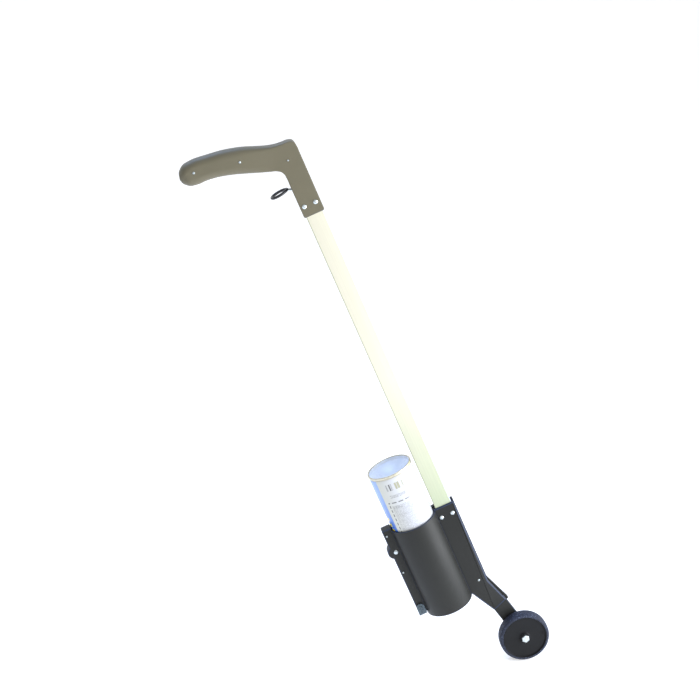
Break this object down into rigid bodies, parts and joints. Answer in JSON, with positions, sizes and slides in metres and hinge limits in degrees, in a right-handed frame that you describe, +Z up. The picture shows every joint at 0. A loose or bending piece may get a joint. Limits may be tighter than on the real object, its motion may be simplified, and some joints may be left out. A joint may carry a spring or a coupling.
{
  "type": "line marking wand",
  "caption": "Hand-held line marking wand: pistol grip with finger trigger, flat aluminium shaft, moulded holder for an upturned marking can, and a guide wheel on a forward leg.",
  "frame": {"origin": "the middle of the hand's grip, in the wand's plane of symmetry, 97 percent of the way up the leaned wand", "axes": "+Z up with the wand leaned back 23 degrees to its working slant, +X forwards from the hand to the wheel side, +Y to the far side, away from the wheel"},
  "size_m": [0.5321, 0.072, 0.7906],
  "materials": {
    "shaft_aluminium": "extruded, pale straw to greenish cast, fine lengthwise draw lines",
    "holder_plastic": "moulded, satin charcoal",
    "grip_plastic": "moulded, satin olive grey",
    "zinc_steel": "zinc plated, bright",
    "trigger_sleeve": "dipped black sleeve, satin",
    "can_label": null,
    "can_tin": "tinplate",
    "can_enamel": "pale blue-white enamel",
    "inner_plastic": "moulded, white",
    "wheel_rubber": "moulded, finely textured tread",
    "wheel_plastic": "moulded, black",
    "bushing_steel": "turned"
  },
  "bodies": {
    "frame": {"shaft_tube": "shaft_aluminium", "rod_guide": "inner_plastic", "holder_shell_near": "holder_plastic", "holder_shell_far": "holder_plastic", "grip_shell_near": "grip_plastic", "grip_shell_far": "grip_plastic", "holder_rivet_1": "zinc_steel", "holder_rivet_2": "zinc_steel", "grip_rivet_1": "zinc_steel", "grip_rivet_2": "zinc_steel", "lobe_rivet": "zinc_steel", "flange_screw_1": "zinc_steel", "flange_screw_2": "zinc_steel", "leg_screw_1": "zinc_steel", "head_screw_1": "zinc_steel", "grip_screw_1": "zinc_steel", "grip_screw_2": "zinc_steel", "lever_pivot_pin": "zinc_steel", "axle_bolt": "zinc_steel", "axle_spacer": "zinc_steel", "axle_washer": "zinc_steel", "axle_nut": "zinc_steel"},
    "trigger": {"pull_rod": "zinc_steel", "rod_coupler": "shaft_aluminium", "trigger_wire": "zinc_steel", "trigger_loop": "trigger_sleeve", "rod_adjuster_nut": "zinc_steel"},
    "lever": {"actuator_lever": "zinc_steel"},
    "can": {"can_body": "can_label", "can_base_seam": "can_tin", "can_base": "can_enamel", "can_dome": "can_tin", "valve_cup": "can_tin", "valve_housing": "inner_plastic"},
    "nozzle": {"valve_stem": "inner_plastic", "spray_tip": "inner_plastic"},
    "wheel": {"wheel_tyre": "wheel_rubber", "wheel_disc": "wheel_plastic", "wheel_bushing": "bushing_steel"}
  },
  "joints": [
    {"name": "trigger_pull", "type": "slide", "parent": "frame", "child": "trigger", "axis": [-0.3907, 0, 0.9205], "range_m": [0, 0.005], "stiffness_N_per_m": 800, "springref_m": -0.004},
    {"name": "lever_turn", "type": "hinge", "parent": "frame", "child": "lever", "pos_m": [0.26175, 0, -0.67422], "axis": [0, -1, 0], "range_deg": [0, 3.2]},
    {"name": "can_lift", "type": "slide", "parent": "frame", "child": "can", "axis": [-0.3907, 0, 0.9205], "range_m": [0, 0.17]},
    {"name": "nozzle_press", "type": "slide", "parent": "can", "child": "nozzle", "axis": [-0.3907, 0, 0.9205], "range_m": [0, 0.0024]},
    {"name": "wheel_spin", "type": "hinge", "parent": "frame", "child": "wheel", "pos_m": [0.419, -0.0155, -0.72708], "axis": [0, 1, 0], "continuous": true}
  ],
  "couplings": [
    {"joint": "lever_turn", "follows": "trigger_pull", "rad_per_m": 11.05},
    {"joint": "nozzle_press", "follows": "trigger_pull", "ratio": 0.46961}
  ]
}
